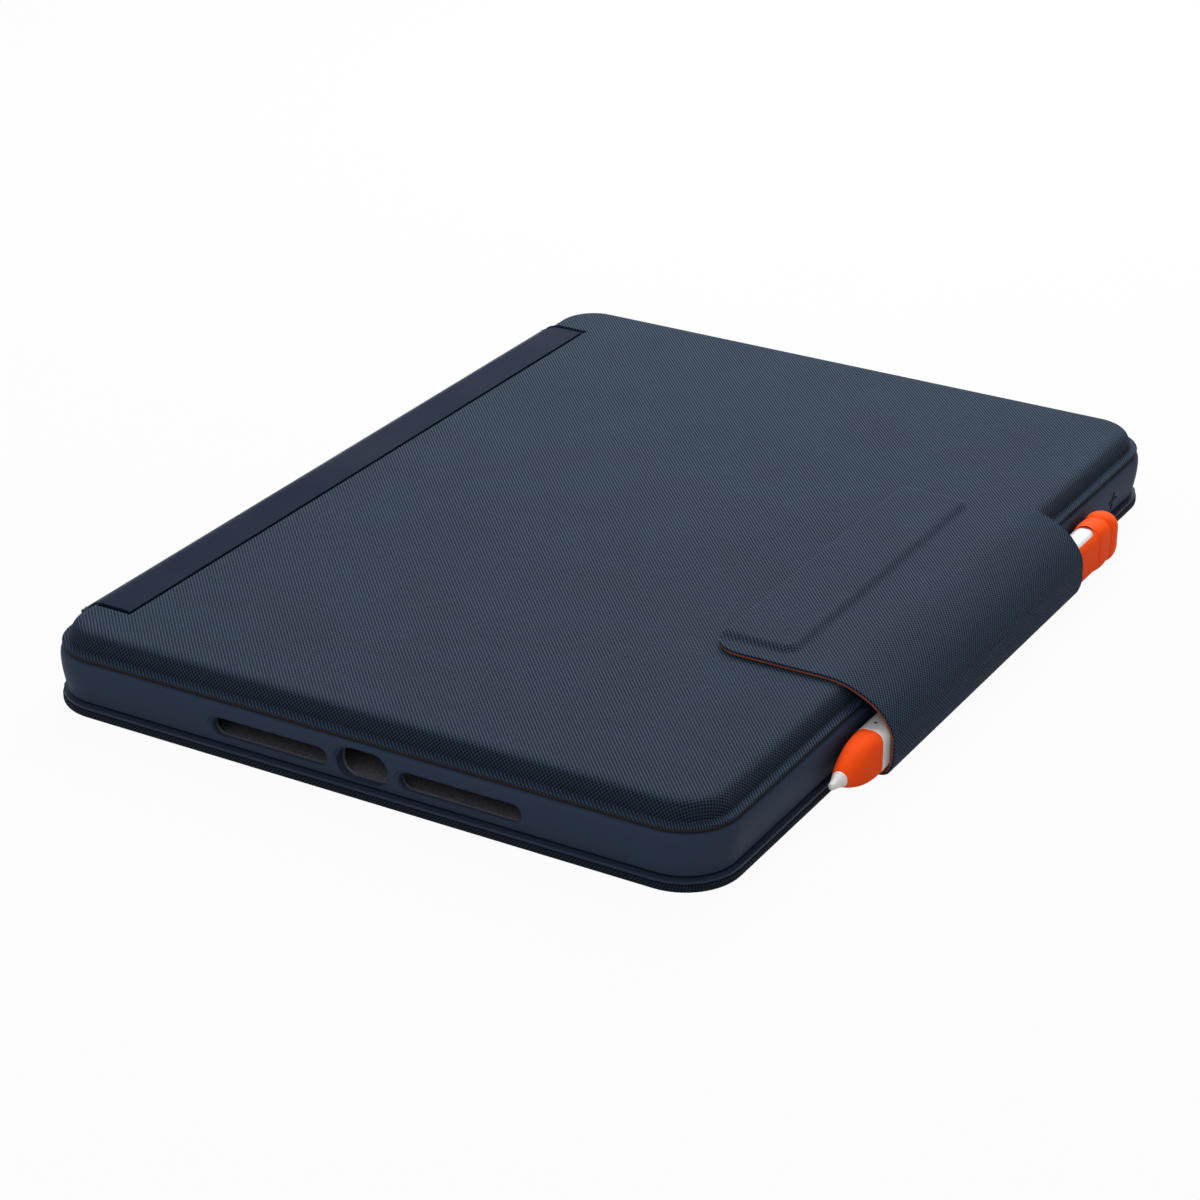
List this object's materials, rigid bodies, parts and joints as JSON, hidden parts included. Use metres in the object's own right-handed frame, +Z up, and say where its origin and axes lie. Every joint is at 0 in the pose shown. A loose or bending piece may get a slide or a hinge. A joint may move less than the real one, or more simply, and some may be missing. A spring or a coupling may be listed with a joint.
{
  "type": "tablet keyboard case",
  "caption": "Closed folio case for a tablet: tray with lip, hinged keyboard cover, kickstand back, curled latch flap holding a flat-sided stylus.",
  "frame": {"origin": "under the middle of the tablet pocket, on the back panel's lower face", "axes": "+X along the long edge away from the charging port, +Y towards the hinge band, +Z up"},
  "size_m": [0.2594, 0.1984, 0.0234],
  "materials": {
    "navy_fabric": "fine woven cloth, small staggered dot weave",
    "navy_rubber": "soft matt rubber",
    "copper_lining": "napped microfibre",
    "dark_board": "stiff fibre board",
    "foam": "closed-cell foam",
    "steel": "rolled sheet",
    "magnet": "plated",
    "gold_contact": "gold plated",
    "clear_film": "printed film",
    "dome_rubber": "moulded",
    "circuit_green": "solder mask",
    "amber_cable": "polyimide film",
    "black_plastic": "moulded",
    "silver_barrel": "bead blasted, anodised",
    "orange_rubber": "satin silicone",
    "white_nib": "moulded"
  },
  "bodies": {
    "tray": {"tablet_tray": "navy_rubber", "back_panel_fabric": "navy_fabric", "back_panel_board": "dark_board", "back_panel_edge": "navy_rubber", "stand_hinge_left_fixed_leaf": "steel", "stand_hinge_right_fixed_leaf": "steel", "stand_hinge_left_pin": "steel", "stand_hinge_right_pin": "steel", "dock_bar": "navy_rubber", "dock_magnet_left": "magnet", "dock_magnet_right": "magnet", "contact_block": "black_plastic", "flap_foot_fabric": "navy_fabric", "flap_foot_lining": "copper_lining"},
    "kickstand": {"kickstand_fabric": "navy_fabric", "kickstand_board": "dark_board", "kickstand_edge": "navy_rubber", "stand_hinge_left_moving_leaf": "steel", "stand_hinge_right_moving_leaf": "steel"},
    "spine": {"spine_link": "navy_rubber"},
    "cover": {"cover_fabric": "navy_fabric", "cover_lining": "copper_lining", "cover_foam": "foam", "latch_plate": "steel", "keyboard_plate": "steel", "circuit_sheet": "clear_film", "dome_sheet": "dome_rubber", "key_skin": "navy_rubber", "controller_board": "circuit_green", "flat_cable": "amber_cable", "hinge_strip": "navy_rubber"},
    "flap_wall": {"flap_wall_fabric": "navy_fabric", "flap_wall_lining": "copper_lining"},
    "flap_tip": {"flap_tip_fabric": "navy_fabric", "flap_tip_lining": "copper_lining", "flap_magnet_carrier": "black_plastic", "flap_magnet_1": "magnet", "flap_magnet_2": "magnet", "flap_magnet_3": "magnet"},
    "stylus": {"stylus_barrel": "silver_barrel", "stylus_grip": "orange_rubber", "stylus_nib": "white_nib", "stylus_strap": "orange_rubber"},
    "stylus_cap": {"stylus_cap": "orange_rubber"},
    "stylus_button": {"stylus_button": "silver_barrel"},
    "volume_up": {"volume_up_button": "navy_rubber"},
    "volume_down": {"volume_down_button": "navy_rubber"},
    "power": {"power_button": "navy_rubber"},
    "contact_pin_1": {"contact_pin_1": "gold_contact"},
    "contact_pin_2": {"contact_pin_2": "gold_contact"},
    "contact_pin_3": {"contact_pin_3": "gold_contact"}
  },
  "joints": [
    {"name": "spine_hinge", "type": "hinge", "parent": "tray", "child": "spine", "pos_m": [-0.0025, 0.0939, 0.01295], "axis": [-1, 0, 0], "range_deg": [0, 90]},
    {"name": "cover_hinge", "type": "hinge", "parent": "spine", "child": "cover", "pos_m": [-0.0025, 0.0939, 0.01895], "axis": [-1, 0, 0], "range_deg": [0, 180]},
    {"name": "kickstand_hinge", "type": "hinge", "parent": "tray", "child": "kickstand", "pos_m": [0, 0.008, 0.0015], "axis": [-1, 0, 0], "range_deg": [0, 70]},
    {"name": "flap_wall_hinge", "type": "hinge", "parent": "tray", "child": "flap_wall", "pos_m": [-0.0015, -0.10136, 0.00153], "axis": [1, 0, 0], "range_deg": [0, 90]},
    {"name": "flap_tip_hinge", "type": "hinge", "parent": "flap_wall", "child": "flap_tip", "pos_m": [-0.0015, -0.09339, 0.02039], "axis": [1, 0, 0], "range_deg": [0, 100]},
    {"name": "stylus_slide", "type": "slide", "parent": "tray", "child": "stylus", "axis": [1, 0, 0], "range_m": [0, 0.14]},
    {"name": "stylus_cap_pull", "type": "slide", "parent": "stylus", "child": "stylus_cap", "axis": [1, 0, 0], "range_m": [0, 0.012]},
    {"name": "stylus_button_press", "type": "slide", "parent": "stylus", "child": "stylus_button", "axis": [0, 1, 0], "range_m": [0, 0.0004], "stiffness_N_per_m": 600},
    {"name": "volume_up_press", "type": "slide", "parent": "tray", "child": "volume_up", "axis": [0, 1, 0], "range_m": [0, 0.0005], "stiffness_N_per_m": 1500},
    {"name": "volume_down_press", "type": "slide", "parent": "tray", "child": "volume_down", "axis": [0, 1, 0], "range_m": [0, 0.0005], "stiffness_N_per_m": 1500},
    {"name": "power_press", "type": "slide", "parent": "tray", "child": "power", "axis": [-1, 0, 0], "range_m": [0, 0.0005], "stiffness_N_per_m": 1500},
    {"name": "contact_pin_1_press", "type": "slide", "parent": "tray", "child": "contact_pin_1", "axis": [0, 1, 0], "range_m": [0, 0.0005], "stiffness_N_per_m": 400},
    {"name": "contact_pin_2_press", "type": "slide", "parent": "tray", "child": "contact_pin_2", "axis": [0, 1, 0], "range_m": [0, 0.0005], "stiffness_N_per_m": 400},
    {"name": "contact_pin_3_press", "type": "slide", "parent": "tray", "child": "contact_pin_3", "axis": [0, 1, 0], "range_m": [0, 0.0005], "stiffness_N_per_m": 400}
  ]
}
